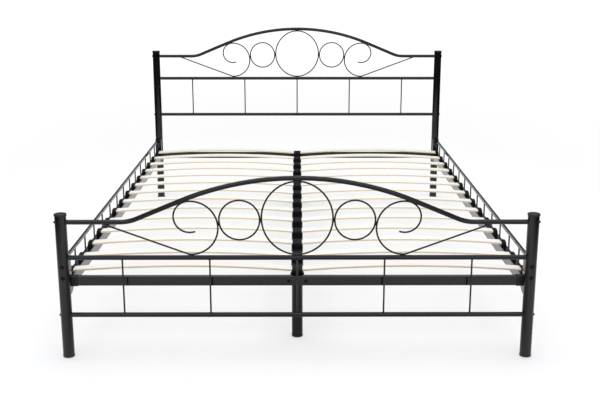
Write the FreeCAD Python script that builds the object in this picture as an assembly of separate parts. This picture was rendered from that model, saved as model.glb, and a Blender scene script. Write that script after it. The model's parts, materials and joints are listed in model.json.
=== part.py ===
import FreeCAD, Part
import math
import os

# Metal double bed frame, in millimetres.
# X runs across the bed, +Y from the foot end to the head end, Z is up.
# The origin is on the floor at the middle of the bed.

# Posts
POST_SPACING_X = 1440.0
POST_SPACING_Y = 2075.0
POST_DIAMETER = 36.0
POST_WALL = 1.2
FOOT_POST_TOP = 465.0
HEAD_RISE = 303.6          # the head panel is the foot panel lifted by this much
END_RIM_HEIGHT = 6.0       # visible rim of a cap or a foot
CAP_RIM_DIAMETER = 39.0
FOOT_RIM_DIAMETER = 37.0
RIM_ROUNDING = 2.5
CAP_PLUG_LENGTH = 13.0
FOOT_PLUG_LENGTH = 22.0
PLUG_CAVITY_DIAMETER = 25.0
PLUG_FLOOR = 3.0

# Welded end panels
PANEL_TUBE_DIAMETER = 15.0
PANEL_TUBE_WALL = 1.2
ROD_DIAMETER = 5.5         # rings, scrolls and uprights
FOOT_MIDDLE_TUBE_Z = 325.0
LOWER_TUBE_DROP = 186.6    # below the middle tube
ARCH_FLAT_RISE = 113.0     # above the middle tube
ARCH_CROWN_RISE = 250.0
ARCH_CROWN_RADIUS = 925.0
ARCH_SLOPE = math.radians(22.7)
ARCH_FILLET_RADIUS = 130.0
UPRIGHT_PITCH = 269.0
UPRIGHTS_PER_SIDE = 2
LARGE_RING_HALF_WIDTH = 109.0
LARGE_RING_END_RADIUS = 100.0
SMALL_RING_RADIUS = 62.0
SMALL_RING_RISE = 119.0
SCROLL_RADIUS = 84.0
SCROLL_CURL_RADIUS = 49.0
SCROLL_HEEL_RADIUS = 25.5
SCROLL_TAIL_ANGLE = 20.3   # degrees above level
SCROLL_TURNOVER = 86.0     # degrees, where the big bend hands over to the curl
SCROLL_END = -110.0        # degrees, free end of the curl

# Side frames: rail, guard bar and guard rods between two end brackets
RAIL_WIDTH = 25.0
RAIL_HEIGHT = 40.0
RAIL_TOP = 247.0
RAIL_WALL = 1.5
TUBE_CORNER_RADIUS = 2.5
GUARD_OUTSET = 2.0         # outboard of the post axes
GUARD_BAR_WIDTH = 8.0
GUARD_BAR_HEIGHT = 13.0
GUARD_BAR_BOTTOM = 304.5
GUARD_BAR_WALL = 1.2
GUARD_ROD_DIAMETER = 5.5
GUARD_ROD_COUNT = 13
GUARD_ROD_FIRST = 164.7    # from the foot posts
BRACKET_THICKNESS = 2.0
BRACKET_BOTTOM = 200.0
BRACKET_DEPTH = 20.5       # of the cheeks above the rail
BRACKET_TOE_DEPTH = 37.5   # of the cheeks along the rail's lower edge
BRACKET_TOE_LOW = 214.0
BRACKET_TOE_TOP = 247.0
BRACKET_TOE_SAG = 3.0
BRACKET_HEEL_DEPTH = 8.0
BRACKET_CORNER = 6.0

# End rails between the side rails
END_RAIL_SETBACK = 35.0    # from the post axes to the outer face
END_RAIL_DEPTH = 20.0
END_RAIL_HEIGHT = 30.0
END_RAIL_TOP = 251.0
END_RAIL_WALL = 1.2
SOCKET_WALL = 2.0
SOCKET_LENGTH = 18.0

# Centre beam, its seats and its legs
BEAM_WIDTH = 40.0
BEAM_HEIGHT = 25.0
BEAM_WALL = 1.5
SEAT_THICKNESS = 2.0
SEAT_LENGTH = 34.0
SEAT_FLANGE_REACH = 38.0
LEG_SETBACK = 165.0        # from the posts to the first and last centre leg
LEG_PLATE_LENGTH = 72.0
LEG_PLATE_WIDTH = 38.0
LEG_PLATE_THICKNESS = 3.0

# Slats and their plastic holders
SLAT_ROWS = 14
SLAT_FIRST = 92.0          # from the foot posts to the middle of the first slat
SLAT_WIDTH = 38.0
SLAT_THICKNESS = 8.0
SLAT_ROUNDING = 3.4
SLAT_BOW = 15.0
SLAT_OUTER_END = 718.0
SLAT_INNER_END = 5.0
SLAT_END_LIFT = 7.0        # underside of a slat end above the rail
HOLDER_LENGTH = 48.0
HOLDER_SHOULDER = 9.0      # heights above the rail
HOLDER_CROWN = 19.3
HOLDER_HAUNCH_RADIUS = 8.0
HOLDER_BASE_HEIGHT = 6.5
HOLDER_LIP = 2.5           # how far the base stands out past the arched block
HOLDER_INNER_FACE = 707.5
HOLDER_OUTER_FACE = 725.5
CENTRE_HOLDER_HALF_WIDTH = 19.0
HOLDER_ROUNDING = 1.2
HOLDER_PEG_DIAMETER = 8.0
HOLDER_PEG_LENGTH = 12.0
HOLDER_PEG_HOLE = 8.4
SLAT_CLEARANCE = 0.3

# Fasteners
PANEL_SCREW_DIAMETER = 6.0
PANEL_SCREW_HEAD = 9.0
PANEL_SCREW_HEAD_HEIGHT = 4.0
PANEL_SCREW_HOLE = 6.4
INSERT_LENGTH = 20.0
RAIL_BOLT_DIAMETER = 6.0
RAIL_BOLT_HOLE = 6.4
RAIL_BOLT_HEAD = 14.5
RAIL_BOLT_HEAD_HEIGHT = 4.5
RAIL_BOLT_HEIGHTS = (262.5, 298.5)
RAIL_NUT_FLATS = 10.0
RAIL_NUT_HEIGHT = 5.0
SMALL_SCREW_DIAMETER = 5.0
SMALL_SCREW_HOLE = 5.4
SMALL_SCREW_HEAD = 11.0
SMALL_SCREW_HEAD_HEIGHT = 3.3
SMALL_NUT_FLATS = 8.0
SMALL_NUT_HEIGHT = 4.0
SEAT_BOLT_OFFSET = 27.0
LEG_SCREW_OFFSET = 27.0
LEG_SCREW_LENGTH = 18.0
THREAD_PAST_NUT = 2.0
SOCKET_FLATS_SHARE = 0.36  # hexagon socket across flats, as a share of the head
SOCKET_DEPTH_SHARE = 0.55  # and its depth, as a share of the head's height

# Worked out from the sizes above
POST_X = POST_SPACING_X / 2
POST_Y = POST_SPACING_Y / 2
POST_RADIUS = POST_DIAMETER / 2
POST_BORE = POST_DIAMETER - 2 * POST_WALL
SOCKET_SEAT_X = POST_X - RAIL_WIDTH / 2 - BRACKET_THICKNESS
GUARD_X = POST_X + GUARD_OUTSET
GUARD_BAR_TOP = GUARD_BAR_BOTTOM + GUARD_BAR_HEIGHT
BRACKET_FACE_Y = POST_Y - POST_RADIUS
RAIL_END_Y = BRACKET_FACE_Y - BRACKET_THICKNESS
END_RAIL_OUTER_Y = POST_Y - END_RAIL_SETBACK
END_RAIL_INNER_Y = END_RAIL_OUTER_Y - END_RAIL_DEPTH
END_RAIL_MIDDLE_Z = END_RAIL_TOP - END_RAIL_HEIGHT / 2
BEAM_BOTTOM = RAIL_TOP - BEAM_HEIGHT
PANEL_TUBE_RADIUS = PANEL_TUBE_DIAMETER / 2
ROD_RADIUS = ROD_DIAMETER / 2
SLAT_PITCH = (POST_SPACING_Y - 2 * SLAT_FIRST) / (SLAT_ROWS - 1)
SLAT_MIDDLES = [SLAT_FIRST - POST_Y + SLAT_PITCH * row for row in range(SLAT_ROWS)]
GUARD_ROD_PITCH = (POST_SPACING_Y - 2 * GUARD_ROD_FIRST) / (GUARD_ROD_COUNT - 1)
LEG_PLACES = {"foot": LEG_SETBACK - POST_Y, "middle": 0.0, "head": POST_Y - LEG_SETBACK}
CORNERS = [(x, y) for y in (-POST_Y, POST_Y) for x in (-POST_X, POST_X)]

V = FreeCAD.Vector
ALONG_X = V(1, 0, 0)
ALONG_Y = V(0, 1, 0)
ALONG_Z = V(0, 0, 1)


def moved(shape, x=0.0, y=0.0, z=0.0):
    return shape.translated(V(x, y, z))


def flipped_x(shape):
    """Mirror image across the bed's length-wise middle plane."""
    return shape.mirror(V(0, 0, 0), ALONG_X)


def flipped_y(shape):
    """Mirror image across the bed's cross-wise middle plane."""
    return shape.mirror(V(0, 0, 0), ALONG_Y)


def rod(start, end, diameter):
    """Solid round bar between two points."""
    axis = end - start
    return Part.makeCylinder(diameter / 2, axis.Length, start, axis)


def tube(start, end, diameter, wall):
    return rod(start, end, diameter).cut(rod(start, end, diameter - 2 * wall))


def round_bar(path, diameter):
    """Solid round bar along a wire of tangent lines and arcs."""
    first = path.OrderedEdges[0]
    start = first.valueAt(first.FirstParameter)
    heading = first.tangentAt(first.FirstParameter)
    section = Part.Wire(Part.Circle(start, heading, diameter / 2).toShape())
    return path.makePipeShell([section], True, False)


def rounded_bar(size_x, size_z, length, corner):
    """Bar along +Y from the origin, centred on it, with rounded long edges."""
    bar = Part.makeBox(size_x, length, size_z, V(-size_x / 2, 0, -size_z / 2))
    long_edges = [edge for edge in bar.Edges if edge.BoundBox.YLength > length / 2]
    return bar.makeFillet(corner, long_edges)


def box_tube(size_x, size_z, length, wall):
    """Rounded rectangular tube along +Y from the origin, centred on it."""
    bore_corner = TUBE_CORNER_RADIUS - wall
    bore = rounded_bar(size_x - 2 * wall, size_z - 2 * wall, length, bore_corner)
    return rounded_bar(size_x, size_z, length, TUBE_CORNER_RADIUS).cut(bore)


def polar(centre, radius, degrees):
    """Point in the X-Z plane at an angle from +X about a centre."""
    angle = math.radians(degrees)
    return centre + V(radius * math.cos(angle), 0, radius * math.sin(angle))


def arc(centre, radius, first, last):
    """Arc in the X-Z plane from one angle to another, in degrees."""
    ends = [polar(centre, radius, angle) for angle in (first, (first + last) / 2, last)]
    return Part.Arc(*ends).toShape()


def line(start, end):
    return Part.LineSegment(start, end).toShape()


def hexagon(flats, height):
    """Hexagonal prism along +Z from the origin."""
    corner_radius = flats / math.sqrt(3)
    corners = [V(corner_radius * math.cos(k * math.pi / 3), corner_radius * math.sin(k * math.pi / 3), 0)
               for k in range(7)]
    return Part.Face(Part.makePolygon(corners)).extrude(V(0, 0, height))


def dome_screw(shank, head, head_height, length):
    """Screw along +Z with a domed head below the origin and a hexagon socket in it."""
    sphere_radius = (head * head / 4 + head_height * head_height) / (2 * head_height)
    ball = Part.makeSphere(sphere_radius, V(0, 0, sphere_radius - head_height))
    dome = ball.common(Part.makeCylinder(head / 2, head_height, V(0, 0, -head_height)))
    socket = moved(hexagon(head * SOCKET_FLATS_SHARE, head_height * SOCKET_DEPTH_SHARE), z=-head_height)
    return dome.cut(socket).fuse(Part.makeCylinder(shank / 2, length)).removeSplitter()


def hex_nut(flats, height, bore):
    """Nut along +Z from the origin."""
    return hexagon(flats, height).cut(Part.makeCylinder(bore / 2, height))


def pointed(shape, direction):
    """Turn a shape made along +Z to a row direction."""
    turned = shape.copy()
    turned.Placement = FreeCAD.Placement(V(0, 0, 0), FreeCAD.Rotation(ALONG_Z, direction))
    return turned


# Posts

def panel_heights(y):
    """Heights of the lower, middle and arch-end tubes of the panel at y."""
    middle = FOOT_MIDDLE_TUBE_Z + (HEAD_RISE if y > 0 else 0.0)
    return middle - LOWER_TUBE_DROP, middle, middle + ARCH_FLAT_RISE


def post_top(y):
    return FOOT_POST_TOP + (HEAD_RISE if y > 0 else 0.0)


def post(x, y):
    """Round post with cross holes for the panel screws and the rail bolts."""
    top = post_top(y) - END_RIM_HEIGHT
    body = tube(V(x, y, END_RIM_HEIGHT), V(x, y, top), POST_DIAMETER, POST_WALL)
    lower, _, flat = panel_heights(y)
    for z in (lower, flat):
        body = body.cut(rod(V(x - POST_DIAMETER, y, z), V(x + POST_DIAMETER, y, z), PANEL_SCREW_HOLE))
    for z in RAIL_BOLT_HEIGHTS:
        body = body.cut(rod(V(x, y - POST_DIAMETER, z), V(x, y + POST_DIAMETER, z), RAIL_BOLT_HOLE))
    return body


def tube_end(rim_diameter, plug_length):
    """Plastic tube end: a rim with a rounded outer edge and a hollow plug above it."""
    rim = Part.makeCylinder(rim_diameter / 2, END_RIM_HEIGHT)
    outer_edge = [edge for edge in rim.Edges
                  if isinstance(edge.Curve, Part.Circle) and edge.BoundBox.ZMax < END_RIM_HEIGHT / 2]
    rim = rim.makeFillet(RIM_ROUNDING, outer_edge)
    plug = Part.makeCylinder(POST_BORE / 2, plug_length, V(0, 0, END_RIM_HEIGHT))
    cavity_height = END_RIM_HEIGHT + plug_length - PLUG_FLOOR
    cavity = Part.makeCylinder(PLUG_CAVITY_DIAMETER / 2, cavity_height, V(0, 0, PLUG_FLOOR))
    return rim.fuse(plug).cut(cavity).removeSplitter()


def post_caps():
    foot_up = tube_end(CAP_RIM_DIAMETER, CAP_PLUG_LENGTH)
    cap = foot_up.mirror(V(0, 0, 0), ALONG_Z)
    return [moved(cap, x, y, post_top(y)) for x, y in CORNERS]


def tube_feet():
    foot = tube_end(FOOT_RIM_DIAMETER, FOOT_PLUG_LENGTH)
    places = CORNERS + [(0.0, y) for y in LEG_PLACES.values()]
    return [moved(foot, x, y) for x, y in places]


# End panels, modelled about the middle of their middle tube

def arch_path():
    """Flat ends, an easy bend, a straight slope and a round crown."""
    crown_centre = V(0, 0, ARCH_CROWN_RISE - ARCH_CROWN_RADIUS)
    slope_top = crown_centre + V(ARCH_CROWN_RADIUS * math.sin(ARCH_SLOPE), 0,
                                 ARCH_CROWN_RADIUS * math.cos(ARCH_SLOPE))
    corner_x = slope_top.x + (slope_top.z - ARCH_FLAT_RISE) / math.tan(ARCH_SLOPE)
    reach = ARCH_FILLET_RADIUS * math.tan(ARCH_SLOPE / 2)
    bend_outer = V(corner_x + reach, 0, ARCH_FLAT_RISE)
    bend_inner = V(corner_x - reach * math.cos(ARCH_SLOPE), 0,
                   ARCH_FLAT_RISE + reach * math.sin(ARCH_SLOPE))
    bend_centre = bend_outer + V(0, 0, ARCH_FILLET_RADIUS)
    bend_middle = bend_centre - V(ARCH_FILLET_RADIUS * math.sin(ARCH_SLOPE / 2), 0,
                                  ARCH_FILLET_RADIUS * math.cos(ARCH_SLOPE / 2))
    end = V(POST_X, 0, ARCH_FLAT_RISE)

    def left(point):
        return V(-point.x, 0, point.z)

    crown_top = V(0, 0, ARCH_CROWN_RISE)
    return Part.Wire([
        line(left(end), left(bend_outer)),
        Part.Arc(left(bend_outer), left(bend_middle), left(bend_inner)).toShape(),
        line(left(bend_inner), left(slope_top)),
        Part.Arc(left(slope_top), crown_top, slope_top).toShape(),
        line(slope_top, bend_inner),
        Part.Arc(bend_inner, bend_middle, bend_outer).toShape(),
        line(bend_outer, end)])


def without_posts(shape):
    """Cope the ends of a panel tube to the round posts."""
    for x in (-POST_X, POST_X):
        low = V(x, 0, shape.BoundBox.ZMin - PANEL_TUBE_DIAMETER)
        high = V(x, 0, shape.BoundBox.ZMax + PANEL_TUBE_DIAMETER)
        shape = shape.cut(rod(low, high, POST_DIAMETER))
    return shape


def arch_tube():
    path = arch_path()
    hollow = round_bar(path, PANEL_TUBE_DIAMETER - 2 * PANEL_TUBE_WALL)
    return without_posts(round_bar(path, PANEL_TUBE_DIAMETER).cut(hollow))


def straight_panel_tube(z):
    full = tube(V(-POST_X, 0, z), V(POST_X, 0, z), PANEL_TUBE_DIAMETER, PANEL_TUBE_WALL)
    return without_posts(full)


def upright_rods():
    middle = rod(V(-POST_X, 0, 0), V(POST_X, 0, 0), PANEL_TUBE_DIAMETER)
    lower = moved(middle, z=-LOWER_TUBE_DROP)
    rods = []
    for k in range(-UPRIGHTS_PER_SIDE, UPRIGHTS_PER_SIDE + 1):
        x = k * UPRIGHT_PITCH
        full = rod(V(x, 0, -LOWER_TUBE_DROP), V(x, 0, 0), ROD_DIAMETER)
        rods.append(full.cut(middle).cut(lower))
    return rods


RING_BOTTOM = PANEL_TUBE_RADIUS + ROD_RADIUS
RING_TOP = ARCH_CROWN_RISE - PANEL_TUBE_RADIUS - ROD_RADIUS
LARGE_RING_HALF_HEIGHT = (RING_TOP - RING_BOTTOM) / 2
LARGE_RING_RISE = (RING_TOP + RING_BOTTOM) / 2
LARGE_RING_SIDE_RADIUS = ((LARGE_RING_HALF_WIDTH ** 2 + LARGE_RING_HALF_HEIGHT ** 2
                           - 2 * LARGE_RING_HALF_HEIGHT * LARGE_RING_END_RADIUS)
                          / (2 * (LARGE_RING_HALF_WIDTH - LARGE_RING_END_RADIUS)))
LARGE_RING_SIDE_CENTRE = LARGE_RING_HALF_WIDTH - LARGE_RING_SIDE_RADIUS


def large_ring():
    """Upright oval of four tangent arcs that touches the arch and the middle tube."""
    end_centre_rise = LARGE_RING_HALF_HEIGHT - LARGE_RING_END_RADIUS
    joint = math.degrees(math.atan2(end_centre_rise, -LARGE_RING_SIDE_CENTRE))
    top = V(0, 0, LARGE_RING_RISE + end_centre_rise)
    bottom = V(0, 0, LARGE_RING_RISE - end_centre_rise)
    right = V(LARGE_RING_SIDE_CENTRE, 0, LARGE_RING_RISE)
    left = V(-LARGE_RING_SIDE_CENTRE, 0, LARGE_RING_RISE)
    path = Part.Wire([
        arc(right, LARGE_RING_SIDE_RADIUS, -joint, joint),
        arc(top, LARGE_RING_END_RADIUS, joint, 180 - joint),
        arc(left, LARGE_RING_SIDE_RADIUS, 180 - joint, 180 + joint),
        arc(bottom, LARGE_RING_END_RADIUS, 180 + joint, 360 - joint)])
    return round_bar(path, ROD_DIAMETER)


def small_ring_x():
    """The small ring just touches the side of the large ring."""
    reach = LARGE_RING_SIDE_RADIUS + ROD_DIAMETER + SMALL_RING_RADIUS
    rise = SMALL_RING_RISE - LARGE_RING_RISE
    return LARGE_RING_SIDE_CENTRE + math.sqrt(reach ** 2 - rise ** 2)


def small_rings():
    ring = Part.makeTorus(SMALL_RING_RADIUS, ROD_RADIUS, V(0, 0, 0), ALONG_Y)
    return [moved(ring, side * small_ring_x(), z=SMALL_RING_RISE) for side in (-1, 1)]


def scrolls(arch_solid):
    """S-shaped rods: a straight tail, a big bend and a curl, right one then left one."""
    heel_z = PANEL_TUBE_RADIUS + ROD_RADIUS
    bend_rise = heel_z + SCROLL_RADIUS
    reach = SMALL_RING_RADIUS + ROD_DIAMETER + SCROLL_RADIUS
    bend_x = small_ring_x() + math.sqrt(reach ** 2 - (SMALL_RING_RISE - bend_rise) ** 2)
    bend = V(bend_x, 0, bend_rise)
    heel = V(bend_x, 0, heel_z + SCROLL_HEEL_RADIUS)
    curl = polar(bend, SCROLL_RADIUS - SCROLL_CURL_RADIUS, SCROLL_TURNOVER)
    tail_foot = polar(heel, SCROLL_HEEL_RADIUS, SCROLL_TAIL_ANGLE - 90)
    tail_rise = ARCH_FLAT_RISE - tail_foot.z
    tail_tip = tail_foot + V(tail_rise / math.tan(math.radians(SCROLL_TAIL_ANGLE)), 0, tail_rise)
    path = Part.Wire([
        line(tail_tip, tail_foot),
        arc(heel, SCROLL_HEEL_RADIUS, SCROLL_TAIL_ANGLE - 90, -90),
        arc(bend, SCROLL_RADIUS, -90, SCROLL_TURNOVER - 360),
        arc(curl, SCROLL_CURL_RADIUS, SCROLL_TURNOVER, SCROLL_END)])
    right = round_bar(path, ROD_DIAMETER).cut(arch_solid)
    return [right, flipped_x(right)]


def panel_nodes(name, y):
    """One welded end panel as its separate tubes, rings and rods."""
    middle_z = panel_heights(y)[1]
    arch_solid = round_bar(arch_path(), PANEL_TUBE_DIAMETER)
    pieces = {
        "arch_tube": [arch_tube()],
        "middle_tube": [straight_panel_tube(0.0)],
        "lower_tube": [straight_panel_tube(-LOWER_TUBE_DROP)],
        "upright_rods": upright_rods(),
        "large_ring": [large_ring()],
        "small_rings": small_rings(),
        "scrolls": scrolls(arch_solid)}
    return {f"{name}_{part}": [moved(solid, y=y, z=middle_z) for solid in solids]
            for part, solids in pieces.items()}


# Side frames, modelled on the right and mirrored to the left

def side_rail():
    """Rail with one peg hole in its top wall for each slat holder."""
    rail = box_tube(RAIL_WIDTH, RAIL_HEIGHT, 2 * RAIL_END_Y, RAIL_WALL)
    rail = moved(rail, POST_X, -RAIL_END_Y, RAIL_TOP - RAIL_HEIGHT / 2)
    for y in SLAT_MIDDLES:
        rail = rail.cut(peg_hole(side_holder_middle(), y))
    return rail


def guard_bar():
    bar = box_tube(GUARD_BAR_WIDTH, GUARD_BAR_HEIGHT, 2 * RAIL_END_Y, GUARD_BAR_WALL)
    return moved(bar, GUARD_X, -RAIL_END_Y, GUARD_BAR_BOTTOM + GUARD_BAR_HEIGHT / 2)


def guard_rods():
    rods = []
    for k in range(GUARD_ROD_COUNT):
        y = GUARD_ROD_FIRST - POST_Y + GUARD_ROD_PITCH * k
        rods.append(rod(V(GUARD_X, y, RAIL_TOP), V(GUARD_X, y, GUARD_BAR_BOTTOM), GUARD_ROD_DIAMETER))
    return rods


def bracket_cheek():
    """Side wall of an end bracket, 2-D in Y-Z: y is the distance from the post, z the height."""
    def at(depth, z):
        return V(0, depth, z)

    def bend(centre_depth, centre_z, degrees):
        angle = math.radians(degrees)
        return at(centre_depth + BRACKET_CORNER * math.cos(angle),
                  centre_z + BRACKET_CORNER * math.sin(angle))

    heel = at(BRACKET_HEEL_DEPTH, BRACKET_BOTTOM)
    toe = at(BRACKET_TOE_DEPTH, BRACKET_TOE_LOW)
    chord = toe - heel
    sag = V(0, chord.z, -chord.y).normalize() * BRACKET_TOE_SAG
    notch_depth = BRACKET_DEPTH + BRACKET_CORNER
    notch_z = BRACKET_TOE_TOP + BRACKET_CORNER
    crown_depth = BRACKET_DEPTH - BRACKET_CORNER
    crown_z = GUARD_BAR_TOP - BRACKET_CORNER
    outline = Part.Wire([
        line(at(0, GUARD_BAR_TOP), at(0, BRACKET_BOTTOM)),
        line(at(0, BRACKET_BOTTOM), heel),
        Part.Arc(heel, (heel + toe) * 0.5 + sag, toe).toShape(),
        line(toe, at(BRACKET_TOE_DEPTH, BRACKET_TOE_TOP)),
        line(at(BRACKET_TOE_DEPTH, BRACKET_TOE_TOP), bend(notch_depth, notch_z, 270)),
        Part.Arc(*[bend(notch_depth, notch_z, angle) for angle in (270, 225, 180)]).toShape(),
        line(bend(notch_depth, notch_z, 180), bend(crown_depth, crown_z, 0)),
        Part.Arc(*[bend(crown_depth, crown_z, angle) for angle in (0, 45, 90)]).toShape(),
        line(bend(crown_depth, crown_z, 90), at(0, GUARD_BAR_TOP))])
    return Part.Face(outline).extrude(V(BRACKET_THICKNESS, 0, 0))


def rail_end_brackets():
    """U-shaped brackets that take the ends of the rail and the guard bar."""
    half = RAIL_WIDTH / 2
    height = GUARD_BAR_TOP - BRACKET_BOTTOM
    web = Part.makeBox(2 * half, BRACKET_THICKNESS, height, V(-half, 0, BRACKET_BOTTOM))
    cheek = bracket_cheek()
    bracket = web.fuse([moved(cheek, x=half), moved(cheek, x=-half - BRACKET_THICKNESS)])
    for z in RAIL_BOLT_HEIGHTS:
        hole = rod(V(0, -BRACKET_THICKNESS, z), V(0, 2 * BRACKET_THICKNESS, z), RAIL_BOLT_HOLE)
        bracket = bracket.cut(hole)
    foot_end = moved(bracket.removeSplitter(), POST_X, -BRACKET_FACE_Y)
    return [foot_end, flipped_y(foot_end)]


# End rails and their sockets, modelled at the head and mirrored to the foot

def end_rail():
    rail = box_tube(END_RAIL_DEPTH, END_RAIL_HEIGHT, 2 * (SOCKET_SEAT_X - SOCKET_WALL), END_RAIL_WALL)
    rail.rotate(V(0, 0, 0), ALONG_Z, -90)
    rail = moved(rail, -(SOCKET_SEAT_X - SOCKET_WALL), END_RAIL_OUTER_Y - END_RAIL_DEPTH / 2,
                 END_RAIL_MIDDLE_Z)
    for x in (-SEAT_BOLT_OFFSET, SEAT_BOLT_OFFSET):
        hole = rod(V(x, 0, END_RAIL_MIDDLE_Z), V(x, POST_Y, END_RAIL_MIDDLE_Z), SMALL_SCREW_HOLE)
        rail = rail.cut(hole)
    return rail


def end_rail_sockets():
    """Closed sleeves on the end brackets' inner faces that hold the end rails."""
    depth = END_RAIL_DEPTH + 2 * SOCKET_WALL
    height = END_RAIL_HEIGHT + 2 * SOCKET_WALL
    sleeve = rounded_bar(depth, height, SOCKET_LENGTH, TUBE_CORNER_RADIUS + SOCKET_WALL)
    pocket = rounded_bar(END_RAIL_DEPTH, END_RAIL_HEIGHT, SOCKET_LENGTH - SOCKET_WALL, TUBE_CORNER_RADIUS)
    socket = sleeve.cut(pocket)
    socket.rotate(V(0, 0, 0), ALONG_Z, -90)
    right = moved(socket, SOCKET_SEAT_X - SOCKET_LENGTH, END_RAIL_OUTER_Y - END_RAIL_DEPTH / 2,
                  END_RAIL_MIDDLE_Z)
    head_end = [right, flipped_x(right)]
    return head_end + [flipped_y(solid) for solid in head_end]


# Centre beam with its seats and legs

def centre_beam():
    """Beam with a peg hole for each double holder and screw holes over each leg."""
    beam = box_tube(BEAM_WIDTH, BEAM_HEIGHT, 2 * END_RAIL_INNER_Y, BEAM_WALL)
    beam = moved(beam, y=-END_RAIL_INNER_Y, z=RAIL_TOP - BEAM_HEIGHT / 2)
    for y in SLAT_MIDDLES:
        beam = beam.cut(peg_hole(0.0, y))
    for y in leg_screw_places():
        beam = beam.cut(rod(V(0, y, BEAM_BOTTOM - BEAM_WALL), V(0, y, BEAM_BOTTOM + 2 * BEAM_WALL),
                            SMALL_SCREW_HOLE))
    return beam


def beam_seats():
    """U-shaped seat with two flanges, bolted to the inner face of each end rail."""
    inner = BEAM_WIDTH / 2
    outer = inner + SEAT_THICKNESS
    start = END_RAIL_INNER_Y - SEAT_LENGTH
    low = BEAM_BOTTOM - SEAT_THICKNESS
    seat = Part.makeBox(2 * outer, SEAT_LENGTH, RAIL_TOP - low, V(-outer, start, low))
    seat = seat.cut(Part.makeBox(2 * inner, SEAT_LENGTH, BEAM_HEIGHT, V(-inner, start, BEAM_BOTTOM)))
    flange_y = END_RAIL_INNER_Y - SEAT_THICKNESS
    for x in (-SEAT_FLANGE_REACH, outer):
        flange = Part.makeBox(SEAT_FLANGE_REACH - outer, SEAT_THICKNESS, RAIL_TOP - low, V(x, flange_y, low))
        seat = seat.fuse(flange)
    for x in (-SEAT_BOLT_OFFSET, SEAT_BOLT_OFFSET):
        hole = rod(V(x, 0, END_RAIL_MIDDLE_Z), V(x, POST_Y, END_RAIL_MIDDLE_Z), SMALL_SCREW_HOLE)
        seat = seat.cut(hole)
    seat = seat.removeSplitter()
    return [seat, flipped_y(seat)]


def leg_screw_places():
    return [y + side * LEG_SCREW_OFFSET for y in LEG_PLACES.values() for side in (-1, 1)]


def centre_leg(y):
    """Round leg welded under a flat plate that screws to the beam."""
    plate_bottom = BEAM_BOTTOM - LEG_PLATE_THICKNESS
    leg = tube(V(0, y, END_RIM_HEIGHT), V(0, y, plate_bottom), POST_DIAMETER, POST_WALL)
    plate = Part.makeBox(LEG_PLATE_WIDTH, LEG_PLATE_LENGTH, LEG_PLATE_THICKNESS,
                         V(-LEG_PLATE_WIDTH / 2, y - LEG_PLATE_LENGTH / 2, plate_bottom))
    for side in (-1, 1):
        screw_y = y + side * LEG_SCREW_OFFSET
        plate = plate.cut(rod(V(0, screw_y, plate_bottom), V(0, screw_y, BEAM_BOTTOM), SMALL_SCREW_HOLE))
    return leg.fuse(plate).removeSplitter()


# Slats and holders

def bowed_slat(width, thickness, rounding, stretch):
    """Right-hand slat over the middle of the bed, bowed upwards across its span."""
    grow = (thickness - SLAT_THICKNESS) / 2
    inner = SLAT_INNER_END - stretch
    outer = SLAT_OUTER_END + stretch
    half_span = (SLAT_OUTER_END - SLAT_INNER_END) / 2
    middle_x = (SLAT_OUTER_END + SLAT_INNER_END) / 2
    radius = (half_span ** 2 + SLAT_BOW ** 2) / (2 * SLAT_BOW)
    centre = V(middle_x, 0, RAIL_TOP + SLAT_END_LIFT + SLAT_BOW - radius)
    low_radius = radius - grow
    high_radius = radius + SLAT_THICKNESS + grow
    half_angle = math.degrees(math.asin((outer - middle_x) / radius))
    inner_low = polar(centre, low_radius, 90 + half_angle)
    inner_high = polar(centre, high_radius, 90 + half_angle)
    outer_low = polar(centre, low_radius, 90 - half_angle)
    outer_high = polar(centre, high_radius, 90 - half_angle)
    outline = Part.Wire([
        Part.Arc(inner_low, polar(centre, low_radius, 90), outer_low).toShape(),
        line(outer_low, outer_high),
        Part.Arc(outer_high, polar(centre, high_radius, 90), inner_high).toShape(),
        line(inner_high, inner_low)])
    slat = moved(Part.Face(outline).extrude(V(0, width, 0)), y=-width / 2)
    long_edges = [edge for edge in slat.Edges if edge.Length > (outer - inner) / 2]
    return slat.makeFillet(rounding, long_edges)


def slat_row(y):
    slat = bowed_slat(SLAT_WIDTH, SLAT_THICKNESS, SLAT_ROUNDING, 0.0)
    right = moved(slat, y=y)
    return [flipped_x(right), right]


def slat_pocket():
    """Space that a slat takes in its holders, with a little clearance."""
    return bowed_slat(SLAT_WIDTH + 2 * SLAT_CLEARANCE, SLAT_THICKNESS + 2 * SLAT_CLEARANCE,
                      SLAT_ROUNDING, SLAT_CLEARANCE)


def side_holder_middle():
    return (HOLDER_INNER_FACE + HOLDER_OUTER_FACE) / 2


def peg_hole(x, y):
    top = RAIL_TOP + RAIL_WALL
    return rod(V(x, y, RAIL_TOP - 2 * RAIL_WALL), V(x, y, top), HOLDER_PEG_HOLE)


def holder_arch():
    """Outline in X-Z: upright sides, two tight haunches and an easy crown, all tangent."""
    half = HOLDER_LENGTH / 2
    rise = HOLDER_CROWN - HOLDER_SHOULDER
    haunch_x = half - HOLDER_HAUNCH_RADIUS
    crown_radius = ((haunch_x ** 2 + rise ** 2 - HOLDER_HAUNCH_RADIUS ** 2)
                    / (2 * (rise - HOLDER_HAUNCH_RADIUS)))
    shoulder_z = RAIL_TOP + HOLDER_SHOULDER
    crown_centre = V(0, 0, RAIL_TOP + HOLDER_CROWN - crown_radius)
    joint = math.degrees(math.atan2(shoulder_z - crown_centre.z, haunch_x))
    return Part.Wire([
        line(V(-half, 0, shoulder_z), V(-half, 0, RAIL_TOP)),
        line(V(-half, 0, RAIL_TOP), V(half, 0, RAIL_TOP)),
        line(V(half, 0, RAIL_TOP), V(half, 0, shoulder_z)),
        arc(V(haunch_x, 0, shoulder_z), HOLDER_HAUNCH_RADIUS, 0, joint),
        arc(crown_centre, crown_radius, joint, 180 - joint),
        arc(V(-haunch_x, 0, shoulder_z), HOLDER_HAUNCH_RADIUS, 180 - joint, 180)])


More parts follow.
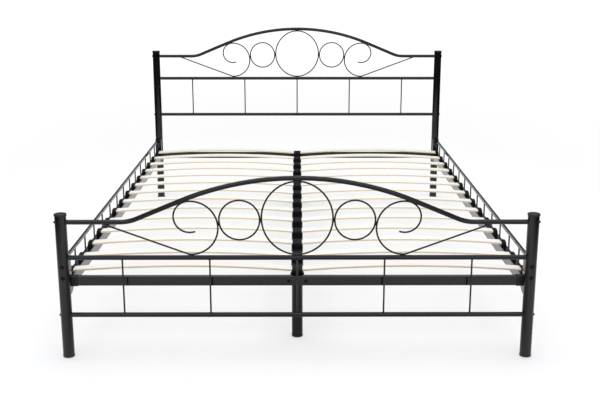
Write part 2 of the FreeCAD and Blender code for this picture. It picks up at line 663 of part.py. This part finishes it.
def holder_block(low_x, high_x, low_lip, high_lip):
    """Arched block on a base with a peg below it, at the middle of the bed."""
    depth = high_x - high_lip - low_x - low_lip
    block = Part.Face(holder_arch()).extrude(V(0, depth, 0))
    rim_edges = [edge for edge in block.Edges
                 if edge.BoundBox.ZMin > RAIL_TOP + HOLDER_BASE_HEIGHT and edge.BoundBox.YLength < depth / 2]
    block = block.makeFillet(HOLDER_ROUNDING, rim_edges)
    block.rotate(V(0, 0, 0), ALONG_Z, 90)
    block = moved(block, high_x - high_lip)
    base = Part.makeBox(high_x - low_x, HOLDER_LENGTH, HOLDER_BASE_HEIGHT,
                        V(low_x, -HOLDER_LENGTH / 2, RAIL_TOP))
    peg_x = (low_x + high_x) / 2
    peg = rod(V(peg_x, 0, RAIL_TOP - HOLDER_PEG_LENGTH), V(peg_x, 0, RAIL_TOP), HOLDER_PEG_DIAMETER)
    return block.fuse([base, peg]).removeSplitter()


def side_holders():
    block = holder_block(HOLDER_INNER_FACE, HOLDER_OUTER_FACE, HOLDER_LIP, 0.0)
    holder = block.cut(slat_pocket())
    return [moved(holder, y=y) for y in SLAT_MIDDLES]


def centre_holders():
    pocket = slat_pocket()
    block = holder_block(-CENTRE_HOLDER_HALF_WIDTH, CENTRE_HOLDER_HALF_WIDTH, HOLDER_LIP, HOLDER_LIP)
    holder = block.cut(pocket).cut(flipped_x(pocket))
    return [moved(holder, y=y) for y in SLAT_MIDDLES]


# Fasteners

def panel_screws():
    """One screw through each post into each arch and lower tube end."""
    length = POST_DIAMETER + INSERT_LENGTH
    screw = dome_screw(PANEL_SCREW_DIAMETER, PANEL_SCREW_HEAD, PANEL_SCREW_HEAD_HEIGHT, length)
    screw = pointed(screw, ALONG_X)
    screws = []
    for x, y in CORNERS:
        lower, _, flat = panel_heights(y)
        inward = screw if x < 0 else flipped_x(screw)
        outer_x = math.copysign(POST_X + POST_RADIUS, x)
        screws += [moved(inward, outer_x, y, z) for z in (lower, flat)]
    return screws


def panel_inserts():
    """Threaded plug pressed into each arch and lower tube end."""
    bore = PANEL_TUBE_DIAMETER - 2 * PANEL_TUBE_WALL
    start = V(-(POST_X - POST_RADIUS), 0, 0)
    insert = tube(start, start + V(INSERT_LENGTH, 0, 0), bore, (bore - PANEL_SCREW_DIAMETER) / 2)
    inserts = []
    for x, y in CORNERS:
        lower, _, flat = panel_heights(y)
        placed = insert if x < 0 else flipped_x(insert)
        inserts += [moved(placed, y=y, z=z) for z in (lower, flat)]
    return inserts


def rail_fastener_places():
    return [(x, y, z) for x, y in CORNERS for z in RAIL_BOLT_HEIGHTS]


def rail_bolts():
    """Dome-headed bolts through the posts and the rail end brackets."""
    length = POST_DIAMETER + BRACKET_THICKNESS + RAIL_NUT_HEIGHT + THREAD_PAST_NUT
    bolt = dome_screw(RAIL_BOLT_DIAMETER, RAIL_BOLT_HEAD, RAIL_BOLT_HEAD_HEIGHT, length)
    foot_bolt = moved(pointed(bolt, ALONG_Y), y=-(POST_Y + POST_RADIUS))
    head_bolt = flipped_y(foot_bolt)
    return [moved(foot_bolt if y < 0 else head_bolt, x=x, z=z) for x, y, z in rail_fastener_places()]


def rail_nuts():
    nut = pointed(hex_nut(RAIL_NUT_FLATS, RAIL_NUT_HEIGHT, RAIL_BOLT_DIAMETER), ALONG_Y)
    foot_nut = moved(nut, y=-RAIL_END_Y)
    head_nut = flipped_y(foot_nut)
    return [moved(foot_nut if y < 0 else head_nut, x=x, z=z) for x, y, z in rail_fastener_places()]


def seat_bolts():
    """Bolts through the end rails and the flanges of the beam seats."""
    length = END_RAIL_DEPTH + SEAT_THICKNESS + SMALL_NUT_HEIGHT + THREAD_PAST_NUT
    bolt = dome_screw(SMALL_SCREW_DIAMETER, SMALL_SCREW_HEAD, SMALL_SCREW_HEAD_HEIGHT, length)
    bolt = moved(pointed(bolt, ALONG_Y), y=-END_RAIL_OUTER_Y, z=END_RAIL_MIDDLE_Z)
    foot_end = [moved(bolt, x=x) for x in (-SEAT_BOLT_OFFSET, SEAT_BOLT_OFFSET)]
    return foot_end + [flipped_y(solid) for solid in foot_end]


def seat_nuts():
    nut = pointed(hex_nut(SMALL_NUT_FLATS, SMALL_NUT_HEIGHT, SMALL_SCREW_DIAMETER), ALONG_Y)
    nut = moved(nut, y=SEAT_THICKNESS - END_RAIL_INNER_Y, z=END_RAIL_MIDDLE_Z)
    foot_end = [moved(nut, x=x) for x in (-SEAT_BOLT_OFFSET, SEAT_BOLT_OFFSET)]
    return foot_end + [flipped_y(solid) for solid in foot_end]


def leg_screws():
    screw = dome_screw(SMALL_SCREW_DIAMETER, SMALL_SCREW_HEAD, SMALL_SCREW_HEAD_HEIGHT, LEG_SCREW_LENGTH)
    plate_bottom = BEAM_BOTTOM - LEG_PLATE_THICKNESS
    return [moved(screw, y=y, z=plate_bottom) for y in leg_screw_places()]


def build():
    """Every node's name with its list of solids."""
    nodes = {}
    post_names = ("foot_post_left", "foot_post_right", "head_post_left", "head_post_right")
    for (x, y), name in zip(CORNERS, post_names):
        nodes[name] = [post(x, y)]
    nodes.update(panel_nodes("foot", -POST_Y))
    nodes.update(panel_nodes("head", POST_Y))
    right_side = {
        "side_rail": [side_rail()],
        "guard_bar": [guard_bar()],
        "guard_rods": guard_rods(),
        "rail_end_brackets": rail_end_brackets(),
        "slat_holders": side_holders()}
    for name, solids in right_side.items():
        nodes[f"{name}_right"] = solids
        nodes[f"{name}_left"] = [flipped_x(solid) for solid in solids]
    nodes["head_end_rail"] = [end_rail()]
    nodes["foot_end_rail"] = [flipped_y(end_rail())]
    nodes["end_rail_sockets"] = end_rail_sockets()
    nodes["centre_beam"] = [centre_beam()]
    nodes["beam_seats"] = beam_seats()
    for name, y in LEG_PLACES.items():
        nodes[f"centre_leg_{name}"] = [centre_leg(y)]
    nodes["post_caps"] = post_caps()
    nodes["tube_feet"] = tube_feet()
    nodes["slat_holders_centre"] = centre_holders()
    for row, y in enumerate(SLAT_MIDDLES, start=1):
        nodes[f"slats_row_{row:02d}"] = slat_row(y)
    nodes["panel_screws"] = panel_screws()
    nodes["panel_inserts"] = panel_inserts()
    nodes["rail_bolts"] = rail_bolts()
    nodes["rail_nuts"] = rail_nuts()
    nodes["seat_bolts"] = seat_bolts()
    nodes["seat_nuts"] = seat_nuts()
    nodes["leg_screws"] = leg_screws()
    return nodes


os.makedirs("parts", exist_ok=True)
for node, solids in build().items():
    shape = solids[0] if len(solids) == 1 else Part.makeCompound(solids)
    shape.exportStep(f"parts/{node}.step")
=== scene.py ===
import json
import math
import random

import bmesh
import bpy
from mathutils import Matrix, Vector


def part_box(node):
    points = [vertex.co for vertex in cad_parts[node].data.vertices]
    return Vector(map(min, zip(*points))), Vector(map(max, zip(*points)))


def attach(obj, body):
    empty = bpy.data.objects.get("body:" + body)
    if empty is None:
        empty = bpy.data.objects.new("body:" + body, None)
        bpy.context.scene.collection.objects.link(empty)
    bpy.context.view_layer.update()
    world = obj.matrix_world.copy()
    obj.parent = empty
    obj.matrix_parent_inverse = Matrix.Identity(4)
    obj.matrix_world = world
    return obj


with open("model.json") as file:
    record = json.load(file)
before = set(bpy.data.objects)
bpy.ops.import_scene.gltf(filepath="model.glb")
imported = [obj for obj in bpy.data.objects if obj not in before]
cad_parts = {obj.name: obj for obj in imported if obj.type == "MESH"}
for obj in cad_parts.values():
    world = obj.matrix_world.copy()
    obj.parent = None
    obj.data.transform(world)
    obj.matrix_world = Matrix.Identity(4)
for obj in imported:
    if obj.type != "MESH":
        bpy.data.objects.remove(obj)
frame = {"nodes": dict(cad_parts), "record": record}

SEED = 7
rng = random.Random(SEED)
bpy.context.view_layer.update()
nodes = frame["nodes"]
MM = 0.001


# ---------------------------------------------------------------- materials

class Tree:
    """A new material with its shader, and short calls that add nodes to it."""

    def __init__(self, name):
        self.material = bpy.data.materials.new(name)
        self.material.use_nodes = True
        self.tree = self.material.node_tree
        self.shader = self.tree.nodes["Principled BSDF"]
        self.place = self.add("ShaderNodeTexCoord").outputs["Object"]

    def add(self, kind, **settings):
        node = self.tree.nodes.new(kind)
        for key, value in settings.items():
            setattr(node, key, value)
        return node

    def link(self, source, target):
        self.tree.links.new(source, target)

    def stretched(self, scale):
        """The object's own coordinates, multiplied along each axis."""
        mapping = self.add("ShaderNodeMapping")
        mapping.inputs["Scale"].default_value = scale
        self.link(self.place, mapping.inputs["Vector"])
        return mapping.outputs["Vector"]

    def noise(self, scale, detail=3.0, vector=None, distortion=0.0):
        node = self.add("ShaderNodeTexNoise")
        node.inputs["Scale"].default_value = scale
        node.inputs["Detail"].default_value = detail
        node.inputs["Distortion"].default_value = distortion
        self.link(vector or self.place, node.inputs["Vector"])
        return node.outputs["Fac"]

    def ramp(self, value, stops):
        node = self.add("ShaderNodeValToRGB")
        ramp = node.color_ramp
        while len(ramp.elements) < len(stops):
            ramp.elements.new(0.5)
        for element, (position, color) in zip(ramp.elements, stops):
            element.position = position
            element.color = (*color, 1.0)
        self.link(value, node.inputs["Fac"])
        return node.outputs["Color"]

    def spread(self, value, low, high, from_low=0.3, from_high=0.7):
        """The value's range from_low to from_high, mapped on low to high and held beyond."""
        node = self.add("ShaderNodeMapRange")
        node.inputs["From Min"].default_value = from_low
        node.inputs["From Max"].default_value = from_high
        node.inputs["To Min"].default_value = low
        node.inputs["To Max"].default_value = high
        self.link(value, node.inputs["Value"])
        return node.outputs["Result"]

    def blend(self, factor, first, second):
        """A mix of two colours; each input is a socket or a fixed value."""
        node = self.add("ShaderNodeMix", data_type="RGBA")
        for key, value in ((0, factor), (6, first), (7, second)):
            if isinstance(value, bpy.types.NodeSocket):
                self.link(value, node.inputs[key])
            else:
                node.inputs[key].default_value = value if key == 0 else (*value, 1.0)
        return node.outputs[2]

    def bump(self, value, strength, distance, below=None):
        """A bump from the value, on top of another bump if one is given."""
        node = self.add("ShaderNodeBump")
        node.inputs["Strength"].default_value = strength
        node.inputs["Distance"].default_value = distance
        self.link(value, node.inputs["Height"])
        if below:
            self.link(below, node.inputs["Normal"])
        return node.outputs["Normal"]

    def finish(self, color, roughness, normal, **fixed):
        """Link the shader's main inputs and set the fixed ones, named with _ for each space."""
        self.link(color, self.shader.inputs["Base Color"])
        self.link(roughness, self.shader.inputs["Roughness"])
        self.link(normal, self.shader.inputs["Normal"])
        for key, value in fixed.items():
            self.shader.inputs[key.replace("_", " ")].default_value = value
        return self.material


def powder_coat():
    """Black glossy powder coat: fine orange peel, slow tone drift, faint handling scuffs."""
    t = Tree("powder_coat")
    drift = t.noise(9.0, 4.0)
    color = t.ramp(drift, [(0.3, (0.0020, 0.0020, 0.0020)), (0.7, (0.0042, 0.0042, 0.0044))])
    grit = t.noise(1400.0, 2.0)
    color = t.blend(t.spread(grit, 0.0, 0.35, 0.45, 0.75), color, (0.010, 0.010, 0.0105))
    scuff = t.noise(3.0, 6.0, t.stretched((9.0, 60.0, 60.0)), 0.4)
    color = t.blend(t.spread(scuff, 0.0, 0.25, 0.66, 0.80), color, (0.025, 0.024, 0.023))
    rough = t.spread(t.noise(70.0, 4.0), 0.08, 0.14)
    normal = t.bump(t.noise(520.0, 2.0), 0.035, 0.0003)
    normal = t.bump(grit, 0.03, 0.0001, normal)
    return t.finish(color, rough, normal, Specular_IOR_Level=0.45)


def bent_plywood():
    """Pale bent plywood: long grain, pores, soft figure, and darker glued plies on the long edges."""
    t = Tree("bent_plywood")
    figure = t.noise(1.0, 4.0, t.stretched((1.6, 26.0, 26.0)), 1.2)
    color = t.ramp(figure, [(0.25, (0.85, 0.80, 0.71)), (0.55, (0.89, 0.85, 0.78)),
                            (0.8, (0.865, 0.815, 0.73))])
    grain = t.noise(1.0, 5.0, t.stretched((9.0, 420.0, 420.0)))
    color = t.blend(t.spread(grain, 0.0, 0.30, 0.50, 0.75), color, (0.80, 0.68, 0.50))
    pores = t.noise(1.0, 2.0, t.stretched((60.0, 1500.0, 1500.0)))
    color = t.blend(t.spread(pores, 0.0, 0.30, 0.62, 0.78), color, (0.66, 0.52, 0.36))

    split = t.add("ShaderNodeSeparateXYZ")
    t.link(t.add("ShaderNodeNewGeometry").outputs["Normal"], split.inputs["Vector"])
    side = t.add("ShaderNodeMath", operation="ABSOLUTE")
    t.link(split.outputs["Y"], side.inputs[0])
    plies = t.add("ShaderNodeTexWave", wave_type="BANDS", bands_direction="Z")
    plies.inputs["Scale"].default_value = 190.0
    plies.inputs["Distortion"].default_value = 1.6
    plies.inputs["Detail"].default_value = 2.0
    t.link(t.place, plies.inputs["Vector"])
    edge = t.ramp(plies.outputs["Fac"], [(0.35, (0.54, 0.43, 0.31)), (0.65, (0.72, 0.62, 0.49))])
    color = t.blend(t.spread(side.outputs[0], 0.0, 0.85, 0.70, 0.95), color, edge)

    rough = t.spread(grain, 0.42, 0.58)
    normal = t.bump(grain, 0.12, 0.0002)
    normal = t.bump(pores, 0.15, 0.0001, normal)
    return t.finish(color, rough, normal, Specular_IOR_Level=0.35, Coat_Weight=0.08, Coat_Roughness=0.35)


def moulded_plastic(name, dark, light, low_rough, high_rough, grain_scale, shine):
    """Black moulded plastic: spark-eroded grain with a slow gloss drift."""
    t = Tree(name)
    color = t.ramp(t.noise(18.0, 3.0), [(0.3, dark), (0.7, light)])
    grain = t.noise(grain_scale, 2.0)
    color = t.blend(t.spread(grain, 0.0, 0.30, 0.5, 0.8), color, tuple(2.2 * c for c in light))
    rough = t.spread(t.noise(40.0, 3.0), low_rough, high_rough)
    normal = t.bump(grain, 0.18, 0.0002)
    return t.finish(color, rough, normal, Specular_IOR_Level=shine)


def metal(name, dark, light, low_rough, high_rough, bare, shine):
    """Small steel pieces with fine scratches: bare metal (bare is 1) or a black finish over it (0)."""
    t = Tree(name)
    color = t.ramp(t.noise(260.0, 4.0), [(0.3, dark), (0.7, light)])
    scratch = t.noise(1.0, 3.0, t.stretched((300.0, 300.0, 2400.0)))
    rough = t.spread(scratch, low_rough, high_rough)
    normal = t.bump(scratch, 0.12, 0.0001)
    return t.finish(color, rough, normal, Metallic=bare, Specular_IOR_Level=shine)


looks = {
    "frame_coat": powder_coat(),
    "slat_plywood": bent_plywood(),
    "holder_plastic": moulded_plastic("holder_plastic", dark=(0.003, 0.003, 0.0033),
                                      light=(0.006, 0.006, 0.0065), low_rough=0.45, high_rough=0.60,
                                      grain_scale=700.0, shine=0.18),
    "end_plastic": moulded_plastic("end_plastic", dark=(0.008, 0.008, 0.0083),
                                   light=(0.013, 0.013, 0.0135), low_rough=0.38, high_rough=0.5,
                                   grain_scale=900.0, shine=0.45),
    "fastener_steel": metal("fastener_steel", dark=(0.002, 0.002, 0.0022), light=(0.005, 0.005, 0.0055),
                            low_rough=0.42, high_rough=0.55, bare=0.0, shine=0.2),
    "bare_steel": metal("bare_steel", dark=(0.50, 0.50, 0.49), light=(0.62, 0.62, 0.61),
                        low_rough=0.25, high_rough=0.4, bare=1.0, shine=0.5),
}
node_slot = {entry["node"]: entry["material_slot"] for entry in frame["record"]["subparts"]}
for name, obj in nodes.items():
    obj.data.materials.clear()
    obj.data.materials.append(looks[node_slot[name]])


# ---------------------------------------------------------------- weld beads

BEAD = 0.9 * MM            # radius of one weld ripple
LEG_BEAD = 1.3 * MM
ROD = 5.5 * MM / 2
LEG_RADIUS = 18 * MM
LEG_PLATE = 3 * MM
CONTACT = 5 * MM           # half length of a weld where two round bars touch
EDGE = 0.8 * ROD           # how far off a bar's middle plane its contact weld sits
SCROLL_FOOT_X = 325.9 * MM  # where a scroll's big bend rests on the middle tube
SCROLL_BEND = 84 * MM      # radius of that bend
RAIL_WELD_END = 35 * MM    # from the rail's end, along the bracket's toe
UPRIGHTS = 5
GUARD_RODS = 13


def ripple(mesh, point, radius):
    """One blob of weld metal, a little uneven."""
    size = radius * rng.uniform(0.85, 1.15)
    bmesh.ops.create_icosphere(mesh, subdivisions=2, radius=size, matrix=Matrix.Translation(point))


def ring_of_ripples(mesh, centre, radius, bead):
    """Weld metal all the way round the end of an upright rod or tube."""
    count = int(2 * math.pi * radius / (1.1 * bead))
    for k in range(count):
        angle = 2 * math.pi * k / count
        offset = Vector((math.cos(angle), math.sin(angle), 0.0))
        ripple(mesh, Vector(centre) + offset * radius, bead)


def line_of_ripples(mesh, start, end, bead):
    """A straight weld."""
    start = Vector(start)
    end = Vector(end)
    count = max(2, int((end - start).length / (1.1 * bead)))
    for k in range(count + 1):
        ripple(mesh, start.lerp(end, k / count), bead)


def contact_welds(mesh, point, along):
    """A short weld on the front and the back of two bars that touch at a point."""
    reach = Vector(along).normalized() * CONTACT
    for way in (-1, 1):
        edge = Vector(point) + Vector((0.0, way * EDGE, 0.0))
        line_of_ripples(mesh, edge - reach, edge + reach, BEAD)


def make_piece(name, mesh, material_slot):
    """A Blender object from a bmesh, riding on the bed."""
    data = bpy.data.meshes.new(name)
    mesh.to_mesh(data)
    mesh.free()
    data.polygons.foreach_set("use_smooth", [True] * len(data.polygons))
    obj = bpy.data.objects.new(name, data)
    bpy.context.scene.collection.objects.link(obj)
    data.materials.append(looks[material_slot])
    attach(obj, "root")


def panel_welds(end):
    """Rod ends, and the places where rings and scrolls touch their neighbours."""
    mesh = bmesh.new()
    lower_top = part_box(f"{end}_lower_tube")[1][2]
    middle_low, middle_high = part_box(f"{end}_middle_tube")
    y = (middle_low[1] + middle_high[1]) / 2
    rods_low, rods_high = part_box(f"{end}_upright_rods")
    first = rods_low[0] + ROD
    pitch = (rods_high[0] - ROD - first) / (UPRIGHTS - 1)
    for k in range(UPRIGHTS):
        for z in (lower_top, middle_low[2]):
            ring_of_ripples(mesh, (first + pitch * k, y, z), ROD, BEAD)
    large_low, large_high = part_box(f"{end}_large_ring")
    for z in (large_low[2], large_high[2]):
        contact_welds(mesh, (0.0, y, z), (1, 0, 0))
    small_low, small_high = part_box(f"{end}_small_rings")
    small_middle = Vector(((large_high[0] + small_high[0]) / 2, y, (small_low[2] + small_high[2]) / 2))
    bend_middle = Vector((SCROLL_FOOT_X, y, middle_high[2] + ROD + SCROLL_BEND))
    between = bend_middle - small_middle
    touch = small_middle + between.normalized() * (small_high[0] - large_high[0]) / 2
    for side in (-1, 1):
        contact_welds(mesh, (side * large_high[0], y, small_middle.z), (0, 0, 1))
        contact_welds(mesh, (side * SCROLL_FOOT_X, y, middle_high[2]), (1, 0, 0))
        contact_welds(mesh, (side * touch.x, y, touch.z), (-side * between.z, 0, between.x))
    make_piece(f"{end}_panel_welds", mesh, "frame_coat")


def side_welds(side):
    """Guard rod ends, and the bar and rail where they meet their end brackets."""
    mesh = bmesh.new()
    rod_low, rod_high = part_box(f"guard_rods_{side}")
    x = (rod_low[0] + rod_high[0]) / 2
    first = rod_low[1] + ROD
    pitch = (rod_high[1] - ROD - first) / (GUARD_RODS - 1)
    for k in range(GUARD_RODS):
        for z in (rod_low[2], rod_high[2]):
            ring_of_ripples(mesh, (x, first + pitch * k, z), ROD, BEAD)
    bar_low, bar_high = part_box(f"guard_bar_{side}")
    for y in (bar_low[1], bar_high[1]):
        for z in (bar_low[2], bar_high[2]):
            line_of_ripples(mesh, (bar_low[0] + MM, y, z), (bar_high[0] - MM, y, z), BEAD)
        for bar_x in (bar_low[0], bar_high[0]):
            line_of_ripples(mesh, (bar_x, y, bar_low[2] + MM), (bar_x, y, bar_high[2] - MM), BEAD)
    rail_low, rail_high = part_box(f"side_rail_{side}")
    for y, inward in ((rail_low[1], 1), (rail_high[1], -1)):
        for rail_x in (rail_low[0], rail_high[0]):
            far_y = y + inward * RAIL_WELD_END
            line_of_ripples(mesh, (rail_x, y, rail_high[2]), (rail_x, far_y, rail_high[2]), BEAD)
    make_piece(f"side_welds_{side}", mesh, "frame_coat")


def leg_welds():
    """Weld between each centre leg's tube and its plate."""
    mesh = bmesh.new()
    for name in ("foot", "middle", "head"):
        low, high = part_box(f"centre_leg_{name}")
        centre = (0.0, (low[1] + high[1]) / 2, high[2] - LEG_PLATE)
        ring_of_ripples(mesh, centre, LEG_RADIUS, LEG_BEAD)
    make_piece("leg_welds", mesh, "frame_coat")


for end in ("foot", "head"):
    panel_welds(end)
for side in ("left", "right"):
    side_welds(side)
leg_welds()


# ---------------------------------------------------------------- floor, light and camera

FLOOR_HALF = 30.0
FLOOR_DROP = 0.5 * MM      # below the feet, so that the faces don't coincide
FLOOR_TONE = (0.80, 0.80, 0.80)
FLOOR_GLOW = 1.12          # glow that keeps the floor white close to the bed
FLOOR_GLOW_FAR = 1.9
FLOOR_GLOW_SHARE = 0.35
GLOW_RISE = (1.0, 3.0)     # in mirrored reaches from the middle
MIRRORED_REACH = (2.1, 3.0, 1.0)   # half sizes of the floor that reflections see as white
MIRRORED_FADE = (0.8, 1.2)         # where its edge starts and ends, in reaches
MIRRORED_WHITE = 0.95
MIRRORED_DARK = 0.03
SHADE_PLACE = (0.0, -1.15, 0.0)    # a shaded patch of that floor, in front of the foot end
SHADE_REACH = (0.8, 0.6, 1.0)
SHADE_FADE = (0.45, 1.0)
SHADE_TONE = 0.42
ROOM_LIGHT = (0.88, 0.88, 0.89)    # what lights the bed from all round
ROOM_LOW = (0.12, 0.125, 0.15)     # what reflections see, from here at the horizon
ROOM_HIGH = (0.40, 0.42, 0.50)     # up to here
ROOM_TOP = 0.7                     # sine of the height where that is reached
WHITE = (1.0, 1.0, 1.0)
COOL = (0.86, 0.91, 1.0)
CAMERA_PLACE = (0.0, -3.7831, 1.2013)
CAMERA_DROP = 14.19        # degrees below level
CAMERA_TURN = -0.178
CAMERA_LENS = 56.15
CAMERA_SENSOR = 36.0
CAMERA_FAR = 100.0


def scaled(size):
    """Factors that turn half sizes into ones."""
    return tuple(1.0 / value for value in size)


def floor():
    """A wide pale floor that stays light in the bed's shadow; reflections see it white near the bed only."""
    mesh = bpy.data.meshes.new("floor")
    corners = [(x * FLOOR_HALF, y * FLOOR_HALF, 0) for x, y in ((-1, -1), (1, -1), (1, 1), (-1, 1))]
    mesh.from_pydata(corners, [], [(0, 1, 2, 3)])
    obj = bpy.data.objects.new("floor", mesh)
    bpy.context.scene.collection.objects.link(obj)
    obj.location.z = -FLOOR_DROP
    t = Tree("floor")
    tree = t.material.node_tree
    tree.nodes.remove(t.shader)
    diffuse = t.add("ShaderNodeBsdfDiffuse")
    diffuse.inputs["Color"].default_value = (*FLOOR_TONE, 1.0)
    glow = t.add("ShaderNodeEmission")
    plain = t.add("ShaderNodeMixShader")
    plain.inputs["Fac"].default_value = FLOOR_GLOW_SHARE
    t.link(diffuse.outputs[0], plain.inputs[1])
    t.link(glow.outputs[0], plain.inputs[2])

    distance = t.add("ShaderNodeVectorMath", operation="LENGTH")
    t.link(t.stretched(scaled(MIRRORED_REACH)), distance.inputs[0])
    limit = t.spread(distance.outputs["Value"], MIRRORED_WHITE, MIRRORED_DARK, *MIRRORED_FADE)
    strength = t.spread(distance.outputs["Value"], FLOOR_GLOW, FLOOR_GLOW_FAR, *GLOW_RISE)
    t.link(strength, glow.inputs["Strength"])
    nearness = t.add("ShaderNodeVectorMath", operation="DISTANCE")
    t.link(t.stretched(scaled(SHADE_REACH)), nearness.inputs[0])
    nearness.inputs[1].default_value = Vector(SHADE_PLACE) * Vector(scaled(SHADE_REACH))
    shade = t.spread(nearness.outputs["Value"], SHADE_TONE, 1.0, *SHADE_FADE)
    shaded = t.add("ShaderNodeMath", operation="MULTIPLY")
    t.link(limit, shaded.inputs[0])
    t.link(shade, shaded.inputs[1])
    mirrored = t.add("ShaderNodeEmission")
    t.link(shaded.outputs[0], mirrored.inputs["Strength"])
    both = t.add("ShaderNodeMixShader")
    t.link(t.add("ShaderNodeLightPath").outputs["Is Glossy Ray"], both.inputs["Fac"])
    t.link(plain.outputs[0], both.inputs[1])
    t.link(mirrored.outputs[0], both.inputs[2])
    out = next(node for node in tree.nodes if node.type == "OUTPUT_MATERIAL")
    t.link(both.outputs[0], out.inputs["Surface"])
    mesh.materials.append(t.material)


def softbox(name, place, target, width, height, power, tint):
    """A rectangular light that faces its target."""
    light = bpy.data.lights.new(name, "AREA")
    light.shape = "RECTANGLE"
    light.size = width
    light.size_y = height
    light.energy = power
    light.color = tint
    obj = bpy.data.objects.new(name, light)
    bpy.context.scene.collection.objects.link(obj)
    obj.location = place
    obj.rotation_euler = (Vector(target) - Vector(place)).to_track_quat("-Z", "Y").to_euler()


def sky():
    """White behind the bed, soft light on it, and a dim blue-grey room in its reflections."""
    world = bpy.data.worlds.new("studio")
    world.use_nodes = True
    tree = world.node_tree
    background = tree.nodes["Background"]
    place = tree.nodes.new("ShaderNodeTexCoord")
    split = tree.nodes.new("ShaderNodeSeparateXYZ")
    tree.links.new(place.outputs["Generated"], split.inputs["Vector"])
    room = tree.nodes.new("ShaderNodeValToRGB")
    room.color_ramp.elements[0].position = 0.0
    room.color_ramp.elements[0].color = (*ROOM_LOW, 1.0)
    room.color_ramp.elements[1].position = ROOM_TOP
    room.color_ramp.elements[1].color = (*ROOM_HIGH, 1.0)
    tree.links.new(split.outputs["Z"], room.inputs["Fac"])
    paths = tree.nodes.new("ShaderNodeLightPath")
    lit = tree.nodes.new("ShaderNodeMix")
    lit.data_type = "RGBA"
    lit.inputs[6].default_value = (*ROOM_LIGHT, 1.0)
    tree.links.new(paths.outputs["Is Glossy Ray"], lit.inputs[0])
    tree.links.new(room.outputs["Color"], lit.inputs[7])
    behind = tree.nodes.new("ShaderNodeMix")
    behind.data_type = "RGBA"
    behind.inputs[7].default_value = (*WHITE, 1.0)
    tree.links.new(paths.outputs["Is Camera Ray"], behind.inputs[0])
    tree.links.new(lit.outputs[2], behind.inputs[6])
    tree.links.new(behind.outputs[2], background.inputs["Color"])
    bpy.context.scene.world = world


def camera():
    """Studio camera beyond the foot end, looking a little down."""
    data = bpy.data.cameras.new("camera")
    data.lens = CAMERA_LENS
    data.sensor_width = CAMERA_SENSOR
    data.clip_end = CAMERA_FAR
    obj = bpy.data.objects.new("camera", data)
    bpy.context.scene.collection.objects.link(obj)
    obj.location = CAMERA_PLACE
    obj.rotation_euler = (math.radians(90.0 - CAMERA_DROP), 0.0, math.radians(CAMERA_TURN))
    bpy.context.scene.camera = obj


floor()
sky()
softbox("top", place=(0.0, 0.4, 4.2), target=(0.0, 0.0, 0.3),
        width=4.0, height=4.0, power=75.0, tint=WHITE)
softbox("front", place=(0.0, -4.4, 2.9), target=(0.0, -0.9, 0.3),
        width=4.6, height=3.2, power=66.0, tint=COOL)
camera()
bpy.context.scene.view_settings.view_transform = "Standard"
